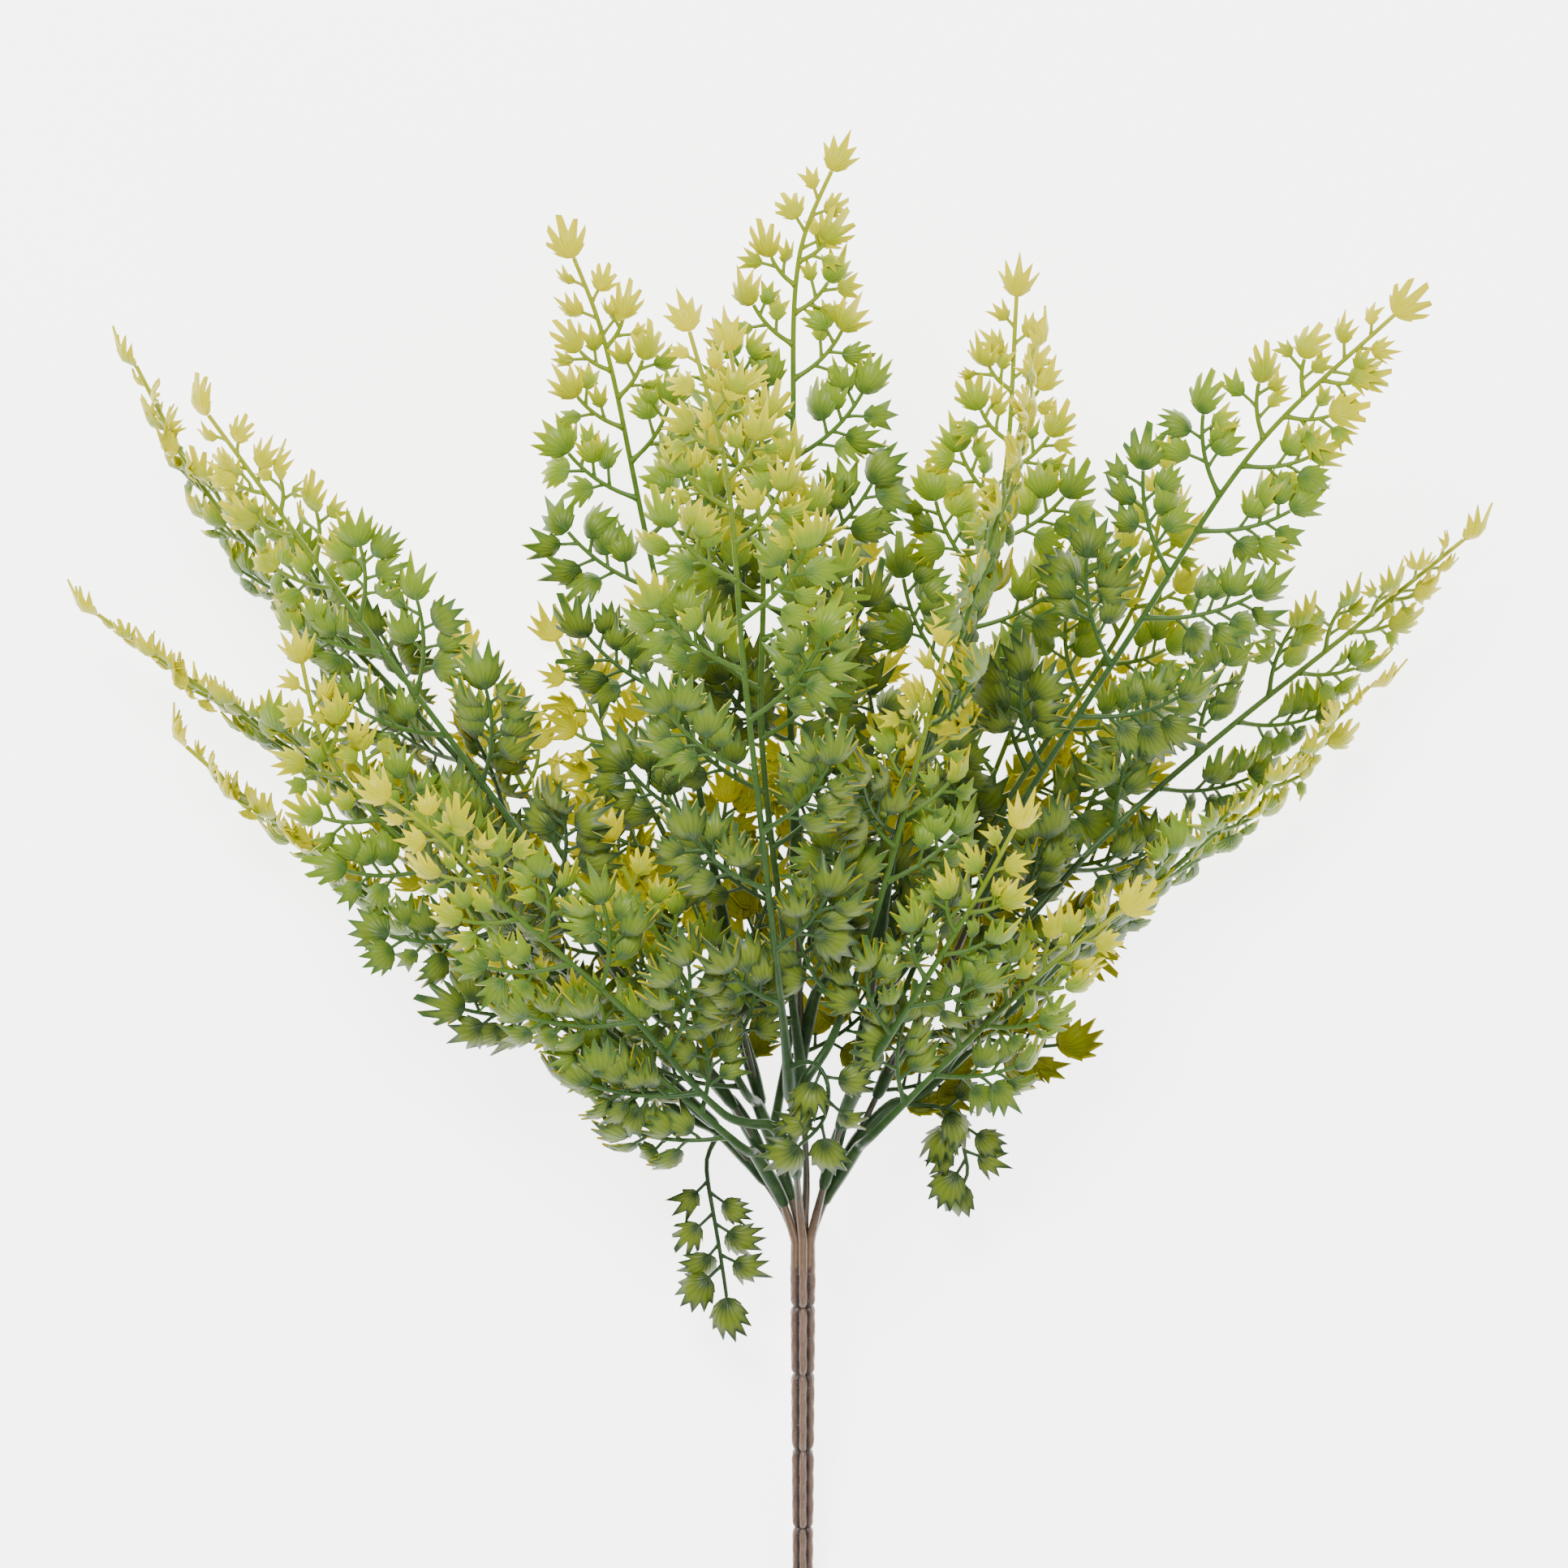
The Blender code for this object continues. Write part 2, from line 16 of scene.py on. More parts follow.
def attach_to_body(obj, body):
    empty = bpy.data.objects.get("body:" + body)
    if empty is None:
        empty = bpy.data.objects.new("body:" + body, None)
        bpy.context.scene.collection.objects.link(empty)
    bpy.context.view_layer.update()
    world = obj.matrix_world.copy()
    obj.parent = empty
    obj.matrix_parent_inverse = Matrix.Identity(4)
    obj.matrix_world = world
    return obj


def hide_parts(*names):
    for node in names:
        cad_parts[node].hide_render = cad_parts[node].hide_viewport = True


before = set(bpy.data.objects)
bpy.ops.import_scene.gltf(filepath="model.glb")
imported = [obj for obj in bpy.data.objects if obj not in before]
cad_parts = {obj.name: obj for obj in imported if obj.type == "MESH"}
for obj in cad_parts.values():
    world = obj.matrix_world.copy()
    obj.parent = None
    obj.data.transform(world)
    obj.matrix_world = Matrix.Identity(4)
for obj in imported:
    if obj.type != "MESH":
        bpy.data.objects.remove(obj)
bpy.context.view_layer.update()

MM = 0.001
UP = Vector((0, 0, 1))

# ---------------------------------------------------------------- the construction's own layout
CROWN = Vector((0.00675, -0.0943, 0.042))
BUNDLE_LENGTH = 0.135
BUNDLE_END_HEIGHT = 0.00288
BUNDLE_TOP_RADIUS = 0.0041
BUNDLE_END_RADIUS = 0.0030
BUNDLE_NOTCHES = (0.017, 0.038, 0.0618, 0.086, 0.1105)
STEM_RADIUS = 0.00096
STEM_ROOT_RADIUS = 0.00145
STEM_ROOT = 0.007  # the length of a stem that shows inside the bundle's top
STEM_RING = 0.0025
STEM_GAP = 0.0004
STEM_STRAIGHT = 0.003
BAR_STAND_OFF = 0.0029
SLEEVE_STRAIGHT = 0.006
SLEEVE_START = (0.006, 0.012)
SMALLEST_FOOT = 0.021
LEAN_AT_FOOT = 62
LEAN_AT_TIP = 26
STALK_HALF = 0.0006
SLEEVE_HALF = 0.0016
ROOT_HALF = 0.0010
RACHIS_HALF = 0.0008
SLEEVE_LENGTH = 0.030
BLADE = ((0.25, 0.0), (0.68, 0.52), (1.0, 0.16))
LIFTS = (0, 14, -14, 28, -28, 42, -42, 56, -56, 70, -70)
SHORTER = (1.0, 0.8, 0.6)

# Branches of a spray, counted from its tip: distance from the tip, length and end leaflet, mm.
BRANCHES = (
    (35, 21, 12.0),
    (42, 22, 12.0),
    (50, 25, 12.5),
    (59, 28, 12.5),
    (69, 32, 13.0),
    (80, 37, 13.5),
    (92, 41, 14.0),
    (107, 45, 14.5),
    (122, 47, 15.0),
    (139, 47, 15.5),
    (157, 45, 15.5),
    (176, 42, 16.0),
    (196, 38, 16.0),
    (215, 34, 16.0),
)

# Stems: place on the ring in degrees from the top (None is the middle), then the route.
STEMS = {
    "right": (120, [(7, 16, 43), (16, 34, 46), (28, 58, 51), (39, 76, 56), (54, 109, 66)]),
    "inner_right": (60, [(5, 15, 47), (12, 41, 57), (18, 65, 67), (22, 92, 80)]),
    "middle": (None, [(1, 20, 45), (0, 45, 49), (-1, 75, 55), (-2, 114, 66)]),
    "front": (0, [(-1, 12, 48), (-2, 24, 57), (-4, 50, 80)]),
    "inner_left": (180, [(-5, 20, 41), (-13, 46, 44), (-20, 74, 49), (-23, 94, 54)]),
    "left": (300, [(-7, 17, 46), (-15, 34, 50), (-28, 53, 55), (-45, 73, 60), (-57, 89, 62)]),
    "low_left": (240, [(-7, 14, 40), (-20, 31, 40), (-33, 43, 42), (-47, 55, 46)]),
}

# Sprays: stem, distance of the collar beyond the crown (None for the stem's end), roll of the painted
# side from straight up towards the right in degrees, and the route.
SPRAYS = {
    "right_end": ("right", None, 0, [(60, 125, 70), (95, 180, 88), (130, 233, 103), (174, 275, 115)]),
    "right_middle": (
        "right", 76, 60,
        [(54, 86, 52), (86, 119, 48), (120, 149, 46), (155, 177, 46), (198, 212, 54)],
    ),
    "right_front": ("right", 18, 35, [(20, 34, 58), (44, 58, 67), (72, 84, 72), (98, 104, 74)]),
    "right_low": ("right", 32, 85, [(34, 45, 40), (77, 85, 37), (123, 124, 35), (171, 170, 40)]),
    "right_behind": ("right", 50, 185, [(46, 66, 36), (68, 98, 22), (88, 138, 12), (104, 186, 6)]),
    "inner_right_end": (
        "inner_right", None, 75,
        [(29, 130, 100), (46, 182, 118), (60, 230, 132), (66, 266, 144)],
    ),
    "inner_right_front": (
        "inner_right", 40, 20,
        [(20, 56, 74), (34, 78, 88), (50, 104, 98), (64, 130, 102)],
    ),
    "inner_right_behind": (
        "inner_right", 60, 15,
        [(29, 82, 58), (64, 138, 42), (98, 191, 44), (107, 235, 56)],
    ),
    "inner_right_floor": (
        "inner_right", 22, 180,
        [(22, 58, 32), (38, 95, 18), (56, 138, 8), (72, 180, 0.4), (79, 204, 0.4)],
    ),
    "middle_end": ("middle", None, 0, [(-4, 170, 82), (-3, 240, 98), (-1, 288, 106), (11, 318, 112)]),
    "middle_right": ("middle", 60, 5, [(14, 91, 46), (39, 154, 50), (57, 215, 64), (62, 284, 82)]),
    "middle_left": ("middle", 42, -5, [(-6, 95, 76), (-12, 150, 104), (-12, 205, 122), (-22, 266, 136)]),
    "front_end": ("front", None, 0, [(-10, 106, 118), (-17, 170, 148), (-22, 225, 165), (-34, 270, 173)]),
    "front_left": (
        "front", 26, -20,
        [(-22, 40, 70), (-50, 70, 92), (-85, 101, 110), (-105, 122, 118), (-124, 136, 122)],
    ),
    "front_right": ("front", 36, 25, [(8, 62, 76), (20, 96, 92), (32, 140, 108), (42, 182, 122)]),
    "inner_left_end": (
        "inner_left", None, -5,
        [(-33, 149, 60), (-47, 215, 65), (-58, 266, 72), (-69, 295, 78)],
    ),
    "inner_left_front": (
        "inner_left", 30, -10,
        [(-17, 47, 60), (-30, 72, 74), (-46, 100, 84), (-58, 126, 88)],
    ),
    "inner_left_behind": (
        "inner_left", 48, 180,
        [(-22, 75, 34), (-40, 120, 20), (-62, 158, 10), (-76, 185, 4)],
    ),
    "inner_left_floor": (
        "inner_left", 20, 180,
        [(-4, 60, 26), (4, 100, 14), (12, 142, 6), (16, 185, 0.4), (18, 208, 0.4)],
    ),
    "left_end": ("left", None, -75, [(-90, 132, 56), (-130, 175, 53), (-172, 219, 54), (-197, 264, 63)]),
    "left_upper": ("left", 70, -45, [(-60, 91, 74), (-92, 136, 85), (-134, 192, 92), (-175, 248, 100)]),
    "left_lower": (
        "left", 46, -85,
        [(-45, 62, 42), (-84, 94, 38), (-130, 132, 36), (-170, 160, 36), (-212, 190, 42)],
    ),
    "left_front": ("left", 17, -30, [(-17, 30, 60), (-40, 50, 74), (-66, 70, 82), (-92, 88, 85)]),
    "left_behind": ("left", 30, 175, [(-26, 48, 36), (-52, 86, 20), (-82, 134, 10), (-102, 180, 4)]),
    "low_left_end": (
        "low_left", None, -5,
        [(-64, 70, 56), (-102, 106, 70), (-136, 143, 80), (-146, 178, 88)],
    ),
    "low_left_side": (
        "low_left", 24, -85,
        [(-31, 37, 34), (-69, 64, 30), (-116, 95, 30), (-155, 125, 30), (-186, 152, 36)],
    ),
    "low_left_floor": (
        "low_left", 40, 180,
        [(-42, 58, 26), (-72, 86, 12), (-106, 117, 3), (-124, 131, 0.4), (-141, 145, 0.4)],
    ),
}

# A long low branch near a spray's foot: distance along the bar in mm, and its own route.
LOW_BRANCHES = {
    "low_left_side": (9, [(-28, 27, 34), (-28, 21, 34), (-26, 9, 33), (-24, -3, 31), (-21, -24, 28)]),
    "right_low": (12, [(45, 40, 36), (47, 30, 33), (48, 21, 29), (41, 12, 26)]),
    "front_end": (6, [(3, 56, 89), (7, 50, 91), (6, 40, 88), (0, 33, 84), (-9, 27, 80)]),
}

BLADE_FLOOR = 0.0004  # the least height of a blade's corner
BLADE_MATCH = 0.0006  # a blade is found where one of its corners is as near as this

# ---------------------------------------------------------------- what the looks add to it
FLOOR_ROOM = 0.0002  # the least height of a leaflet above the floor
SMOOTH_ANGLE = math.radians(60)

# Terminal leaflet, and the single leaflets below it. Where two values are given, they are the first
# leaflet's and the step to the next one's.
TIP_LEAF = 0.0128
TIP_LEAF_BASE = 0.0075  # from the end of the spray's route
TIP_LEAF_TWIST = 12
TIP_SIDES = (0.0165, 0.0215, 0.0265, 0.0315)  # from the end of the spray's route
TIP_SIDE_LEAN = (44, 3)
TIP_SIDE_STALK = (0.0032, 0.0006)
TIP_SIDE_SIZE = (0.0078, 0.0008)

# Branches: a round bar that flares where it leaves the rachis, with stalked leaflets along it.
BRANCH_STEPS = 14
BRANCH_RADIUS = 0.00074
BRANCH_FLARE = 0.0005
BRANCH_FLARE_RATE = 7
BRANCH_TAPER = 0.22
NEAR_TIP = 0.030  # shorter branches bear the small leaflets of a spray's tip
END_LEAF = 0.96  # of the leaflet in the table of branches
SIDE_LEAVES = ((0.024, 2), (0.030, 3), (0.035, 4), (0.040, 5), (0.045, 6))  # up to that branch length
MOST_SIDE_LEAVES = 7
SIDE_LEAF_FIRST = 0.26  # the shares of the branch between which they stand
SIDE_LEAF_SPAN = 0.62
SIDE_LEAF_LEAN = (44, 62)
SIDE_LEAF_VARIES = (0.82, 1.15)
SIDE_LEAF_SMALL = 0.3  # the share of small ones away from the tip
LOW_BRANCH_STEPS = 16
LOW_BRANCH_LEAF = 0.0140
LOW_BRANCH_LEAF_BASE = 0.010  # from the end of the low branch's route

STALK_LENGTH = (0.0032, 0.0052)
STALK_RADIUS = 0.00050
STALK_FLARE = 1.4
STALK_SAG = (-0.10, 0.16)  # of its length
STALK_INTO_LEAF = 0.0006
LEAF_TWIST = 38.0  # the most that a leaflet turns about its own length, in degrees
LEAF_NOD = (-26, 16)
LEAF_STRETCH = (0.90, 1.12)

# Rachis: its foot's points as (along the stem, away from the stem) in mm, and where it joins its route.
END_FOOT = ((-7.5, 0.0), (-4.0, 0.0))
END_FOOT_JOINS = 0.003
SIDE_FOOT = ((-6.0, 0.0), (-2.5, 0.2), (2.0, 1.0))
SIDE_FOOT_JOINS = 0.010
RACHIS_POINTS = 24
RACHIS_STEPS = 110
RACHIS_TAPER = 0.22
SLEEVE_SWELL = 0.0005
SLEEVE_SWELL_LENGTH = 0.009
SLEEVE_LIP = 0.72  # the sleeve's mouth, as a share of its thickness
SLEEVE_LIP_LENGTH = 0.0022

STEM_STEPS = 48
STEM_FLARE_LENGTH = 0.016

BUNDLE_SIDES = 84
BUNDLE_RING = 0.00045  # the distance between two rings of corners
BUNDLE_LOBES = 6
BUNDLE_GROOVE = 0.30
PINCH_REACH = 0.0028  # how far each side of a notch it narrows, and its width there
PINCH_WAIST = 0.60
BUNDLE_CROWN = 0.006  # the length of the rounded top, and the width that it starts from
BUNDLE_CROWN_WIDTH = 0.55

LIGHTS = {  # place, size and power
    "key": ((-0.4, 0.9, 1.9), 0.7, 66),
    "fill": ((1.1, -0.2, 1.8), 1.4, 20),
    "low": ((0.0, -1.6, 1.2), 1.2, 14),
}
LIGHT_TARGET = Vector((0, 0.03, 0.05))
WORLD_LIGHT = 0.30
FLOOR_SIZE = 40
FLOOR_GLOW = 4.0
CAMERA_LENS = 250.0
CAMERA_SENSOR = 36.0
CAMERA_VIEW = 0.464  # the width seen at the floor
CAMERA_OVER = (0.0012, 0.0419)

random.seed(7)


def place(point):
    """A place written in millimetres from the crown, in metres from the origin."""
    right, beyond, height = point
    return Vector((CROWN.x + right * MM, CROWN.y + beyond * MM, height * MM))


class Route:
    """A smooth curve through a few points, measured along its length."""

    def __init__(self, points, steps=12):
        ends = [2 * points[0] - points[1], *points, 2 * points[-1] - points[-2]]
        self.points = [points[0]]
        for a, b, c, d in zip(ends, ends[1:], ends[2:], ends[3:]):
            span = (c - b).length
            leave = (c - a) * span / ((b - a).length + span)
            arrive = (d - b) * span / ((d - c).length + span)
            for k in range(1, steps + 1):
                t = k / steps
                rise = t * t * (3 - 2 * t)
                bend = leave * t * (1 - t) ** 2 - arrive * t * t * (1 - t)
                self.points.append(b.lerp(c, rise) + bend)
        self.marks = [0.0]
        for a, b in zip(self.points, self.points[1:]):
            self.marks.append(self.marks[-1] + (b - a).length)
        self.length = self.marks[-1]

    def at(self, distance):
        """The point at that distance along the curve, and the direction there."""
        distance = min(max(distance, 0.0), self.length)
        k = next(i for i in range(1, len(self.marks)) if self.marks[i] >= distance - 1e-12)
        a, b = self.points[k - 1], self.points[k]
        share = (distance - self.marks[k - 1]) / (self.marks[k] - self.marks[k - 1])
        return a.lerp(b, share), (b - a).normalized()

    def beyond(self, y):
        """The distance along the curve at which it first passes that y."""
        k = next(i for i, p in enumerate(self.points) if p.y >= y)
        return self.marks[k]


def bundle_axis():
    """The bundle's direction, from the crown to its cut end."""
    drop = CROWN.z - BUNDLE_END_HEIGHT
    run = math.sqrt(BUNDLE_LENGTH**2 - drop**2)
    return Vector((0, -run, -drop)) / BUNDLE_LENGTH


def ring_direction(degrees):
    """The direction from the bundle's axis to a stem of the ring, in degrees from the top."""
    along = bundle_axis()
    top = along.cross(Vector((1, 0, 0))).normalized()
    top = top if top.z > 0 else -top
    angle = math.radians(degrees)
    return math.cos(angle) * top + math.sin(angle) * Vector((1, 0, 0))


def stem_route(name):
    """A stem's route: straight out of the bundle, then along its points."""
    ring, points = STEMS[name]
    offset = Vector() if ring is None else ring_direction(ring) * STEM_RING
    start = CROWN + offset - bundle_axis() * STEM_GAP
    return Route([start, start - bundle_axis() * STEM_STRAIGHT, *(place(p) for p in points)])


# ---------------------------------------------------------------- shader maths
class Value:
    """A shader socket. Sums, differences and products of values add their own Math nodes."""

    def __init__(self, shade, socket):
        self.shade = shade
        self.socket = socket

    def math(self, operation, *others):
        return self.shade.add("Math", {"operation": operation}, dict(enumerate(others)))

    def __add__(self, other):
        return self.math("ADD", self, other)

    def __sub__(self, other):
        return self.math("SUBTRACT", self, other)

    def __rsub__(self, other):
        return self.math("SUBTRACT", other, self)

    def __mul__(self, other):
        return self.math("MULTIPLY", self, other)

    def clamp(self):
        return self.shade.add("Clamp", {}, {0: self})

    def sine(self):
        return self.math("SINE", self)

    __radd__ = __add__
    __rmul__ = __mul__


class Shade:
    """One material. The constants are set on the shader's own sockets."""

    def __init__(self, name, constants):
        self.material = bpy.data.materials.new(name)
        self.material.use_nodes = True
        self.tree = self.material.node_tree
        self.shader = self.tree.nodes["Principled BSDF"]
        for socket, value in constants.items():
            self.shader.inputs[socket].default_value = value

    def join(self, socket, value):
        """Link a value to a node's socket, or set a plain number or colour on it."""
        if isinstance(value, Value):
            self.tree.links.new(value.socket, socket)
        else:
            socket.default_value = value

    def add(self, kind, settings, sockets, output=0):
        """A node of that kind, with its settings made first. Gives one of its outputs."""
        node = self.tree.nodes.new(f"ShaderNode{kind}")
        for name, value in settings.items():
            if name == "stops":
                self.set_stops(node.color_ramp, value)
            else:
                setattr(node, name, value)
        for socket, value in sockets.items():
            self.join(node.inputs[socket], value)
        return Value(self, node.outputs[output])

    def set_stops(self, ramp, stops):
        for k, (position, colour) in enumerate(stops):
            stop = ramp.elements[k] if k < 2 else ramp.elements.new(position)
            stop.position = position
            stop.color = (*colour, 1)

    def ramp(self, value, *stops):
        return self.add("ValToRGB", {"stops": stops}, {"Fac": value})

    def mix(self, share, first, second):
        """The second colour over the first, by that share."""
        colours = [c if isinstance(c, Value) else (*c, 1) for c in (first, second)]
        sockets = {"Factor": share, 6: colours[0], 7: colours[1]}
        return self.add("Mix", {"data_type": "RGBA"}, sockets, output=2)

    def attribute(self, name):
        return self.add("Attribute", {"attribute_name": name}, {}, output="Fac")

    def noise(self, scale, detail=3.0, roughness=0.55):
        """Noise on the piece's own coordinates."""
        spot = self.add("TexCoord", {}, {}, output="Object")
        sockets = {"Vector": spot, "Scale": scale, "Detail": detail, "Roughness": roughness}
        return self.add("TexNoise", {}, sockets)

    def bump(self, height, distance, strength=1.0):
        sockets = {"Height": height, "Distance": distance, "Strength": strength}
        self.join(self.shader.inputs["Normal"], self.add("Bump", {}, sockets))

    def colour(self, value):
        self.join(self.shader.inputs["Base Color"], value)

    def roughness(self, value):
        self.join(self.shader.inputs["Roughness"], value)


def leaf_material():
    """Airbrushed plastic leaf: bluish green at the spray's foot, yellow at its tip, olive behind."""
    shade = Shade("airbrushed leaf", {"Specular IOR Level": 0.16})
    ripe = shade.attribute("ripe")
    tone = shade.attribute("tone")
    painted = shade.attribute("painted")
    grid = shade.add("SeparateXYZ", {}, {0: shade.add("UVMap", {"uv_map": "UVMap"}, {})}, "X")
    reach = Value(shade, grid.socket.node.outputs["Y"])
    side = grid * 2.0 - 1.0
    blotch = shade.noise(130.0)
    margin = ((reach - 0.50) * 2.0).clamp() * 0.16
    age = (ripe * 1.16 + (tone - 0.5) * 0.20 + (blotch - 0.5) * 0.14 + margin - 0.15).clamp()
    paint = shade.ramp(
        age,
        (0.00, (0.013, 0.034, 0.013)),
        (0.35, (0.024, 0.062, 0.018)),
        (0.56, (0.048, 0.112, 0.020)),
        (0.72, (0.125, 0.215, 0.014)),
        (0.84, (0.370, 0.370, 0.000)),
        (1.00, (0.620, 0.530, 0.000)),
    )
    back = shade.ramp(
        age,
        (0.00, (0.120, 0.130, 0.004)),
        (0.40, (0.300, 0.265, 0.000)),
        (1.00, (0.560, 0.500, 0.000)),
    )
    # Painted highlight: a pale green-yellow tone over the crest of each leaflet's bulge, plus lighter
    # streaks along its veins, which are the leaf's own colour.
    crest = (1.0 - (reach - 0.52) * (reach - 0.52) * 9.0) * (1.0 - side * side)
    vein = (grid * (2 * math.pi * 11) + blotch * 3.0).sine()
    painted_highlight_and_vein_streaks = crest.clamp() * 0.26 + (vein * 0.5 + 0.5) * 0.07
    shade.colour(shade.mix(painted_highlight_and_vein_streaks, shade.mix(painted, back, paint), (0.36, 0.46, 0.012)))
    shade.roughness(0.30 + blotch * 0.16)
    shade.bump(vein * (1.0 - reach * 0.5), 0.00010, 0.7)
    return shade.material


def rachis_material():
    """The moulded rachis and stalks: bluish green, lighter towards the tip."""
    shade = Shade("moulded rachis", {"Specular IOR Level": 0.18})
    ripe = shade.attribute("ripe")
    mottle = shade.noise(260.0, 5.0)
    paint = shade.ramp(
        (ripe + (mottle - 0.5) * 0.15).clamp(),
        (0.00, (0.016, 0.040, 0.012)),
        (0.35, (0.028, 0.070, 0.014)),
        (0.65, (0.060, 0.125, 0.012)),
        (0.88, (0.200, 0.250, 0.006)),
        (1.00, (0.420, 0.400, 0.010)),
    )
    shade.colour(shade.mix((mottle - 0.45).clamp() * 0.5, paint, (0.12, 0.20, 0.04)))
    shade.roughness(0.32 + mottle * 0.15)
    shade.bump(mottle, 0.0001, 0.5)
    return shade.material


def stem_material():
    """The coated wire: brown where it leaves the bundle, then dark glossy olive."""
    shade = Shade("coated stem", {"Specular IOR Level": 0.5})
    root = shade.attribute("root")
    mottle = shade.noise(420.0, 6.0)
    coat = shade.mix(mottle, (0.026, 0.028, 0.016), (0.070, 0.070, 0.042))
    shade.colour(shade.mix(root, coat, shade.mix(mottle, (0.080, 0.044, 0.024), (0.190, 0.115, 0.070))))
    shade.roughness(0.24 + mottle * 0.2)
    shade.bump(mottle, 0.00012, 0.6)
    return shade.material


def bundle_material():
    """The moulded bundle: warm brown, with painted shade in its grooves and notches, and a few pale specks.
    """
    shade = Shade("moulded bundle", {"Specular IOR Level": 0.5})
    groove_shade = shade.attribute("groove_shade")
    mottle = shade.noise(330.0, 6.0)
    speck = ((shade.noise(1900.0, 2.0) - 0.66) * 9.0).clamp()
    body = shade.mix(mottle, (0.075, 0.038, 0.024), (0.225, 0.130, 0.082))
    # Painted shade: the brown darkens almost to black in the grooves between lobes and at the notches.
    body = shade.mix(groove_shade, body, (0.018, 0.008, 0.005))
    shade.colour(shade.mix(speck * 0.5, body, (0.55, 0.46, 0.38)))
    shade.roughness(0.36 + mottle * 0.2)
    shade.bump(mottle + speck * 0.6, 0.0002, 0.6)
    return shade.material


# ---------------------------------------------------------------- modelling helpers
def deselect():
    bpy.ops.object.select_all(action="DESELECT")


def only(thing):
    """Select that object alone and make it active."""
    deselect()
    thing.select_set(True)
    bpy.context.view_layer.objects.active = thing


def edit(thing, *steps):
    """Run edit-mode operators on the whole of that object."""
    only(thing)
    bpy.ops.object.mode_set(mode="EDIT")
    bpy.ops.mesh.select_all(action="SELECT")
    for step in steps:
        step()
    bpy.ops.object.mode_set(mode="OBJECT")


def apply(thing, kind, **settings):
    """Add a modifier, set it, and apply it."""
    only(thing)
    modifier = thing.modifiers.new(kind.title(), kind)
    for name, value in settings.items():
        setattr(modifier, name, value)
    bpy.ops.object.modifier_apply(modifier=modifier.name)


def fill_attribute(mesh, name, values, domain="POINT"):
    """Write one number for each point, or each face, to an attribute of the mesh."""
    attribute = mesh.attributes.get(name) or mesh.attributes.new(name, "FLOAT", domain)
    attribute.data.foreach_set("value", np.asarray(values, dtype=np.float32))


def coordinates(mesh):
    """The mesh's corners, one row each."""
    places = np.empty(len(mesh.vertices) * 3, dtype=np.float32)
    mesh.vertices.foreach_get("co", places)
    return places.reshape(-1, 3)


def tubes(name, runs, resolution):
    """One mesh of round bars, none of them below the floor. A run is a list of (point, radius)."""
    curve = bpy.data.curves.new(name, "CURVE")
    curve.dimensions = "3D"
    curve.bevel_depth = 1.0
    curve.bevel_resolution = resolution
    curve.use_fill_caps = True
    for run in runs:
        spline = curve.splines.new("POLY")
        spline.points.add(len(run) - 1)
        for spot, (point, radius) in zip(spline.points, run):
            spot.co = (point[0], point[1], max(point[2], radius), 1)
            spot.radius = radius
    thing = bpy.data.objects.new(name, curve)
    bpy.context.scene.collection.objects.link(thing)
    only(thing)
    bpy.ops.object.convert(target="MESH")
    bpy.ops.object.shade_smooth()
    return bpy.context.object


# ---------------------------------------------------------------- leaflets
RIM_TURN = math.radians(152)  # how far round from the tip the rim runs on each side
MERGE_WITHIN = 0.004
LEAFLET_WALL = 0.05


def leaflet(name, teeth, points, half_width, body, bite, bulge, cup, droop):
    """A puffed leaflet with teeth that point forwards, 1 long, from the origin along +Y, painted side up.

    points is 1 for sharp teeth and 2 for blunt ones. body is the length of the leaflet without its
    teeth, bite the depth of a lobe's cut, bulge the height of its crest, cup how far its sides bend
    down, and droop how far its tip does. The rim is part of an oval, and a tooth stands on it at
    every second or third column of the grid, longest at the leaflet's tip.
    """
    per_tooth = points + 1
    columns = teeth * per_tooth
    bpy.ops.mesh.primitive_grid_add(x_subdivisions=columns, y_subdivisions=3, size=1)
    leaf = bpy.context.object
    leaf.name = name
    for corner in leaf.data.vertices:
        across, reach = 2 * corner.co.x, corner.co.y + 0.5
        column = round((across + 1) / 2 * columns)
        tooth, step = divmod(column, per_tooth)
        turn = across * RIM_TURN
        rim = Vector((half_width * math.sin(turn), body / 2 * (1 + math.cos(turn))))
        if step:
            longest = (1 - body) * (1 - 0.62 * abs(across) ** 1.3)
            longest *= 1 + 0.16 * math.sin(tooth * 2.6 + teeth) + 0.10 * (-1) ** (tooth + step)
            point = Vector((0.55 * math.sin(turn), 0.70 + 0.30 * math.cos(turn)))
            outer = rim + point * longest
        else:
            outer = rim * (1 - (bite if tooth % 2 else bite * 0.45))
        x, y = (rim * reach**0.75).lerp(outer, reach**3)
        crest = math.sin(math.pi * min(y / (body * 1.25) + 0.06, 1.0)) * (1 - across * across * 0.6)
        ridge = 0.012 * reach * (1 if step else -1)
        corner.co = (x, y, bulge * crest + ridge - cup * x * x - droop * y * y)
    edit(leaf, lambda: bpy.ops.mesh.remove_doubles(threshold=MERGE_WITHIN))
    upper = len(leaf.data.polygons)
    apply(leaf, "SOLIDIFY", thickness=LEAFLET_WALL, offset=-1)
    fill_attribute(leaf.data, "painted", [float(k < upper) for k in range(len(leaf.data.polygons))], "FACE")
    only(leaf)
    bpy.ops.object.shade_smooth_by_angle(angle=SMOOTH_ANGLE)
    return leaf


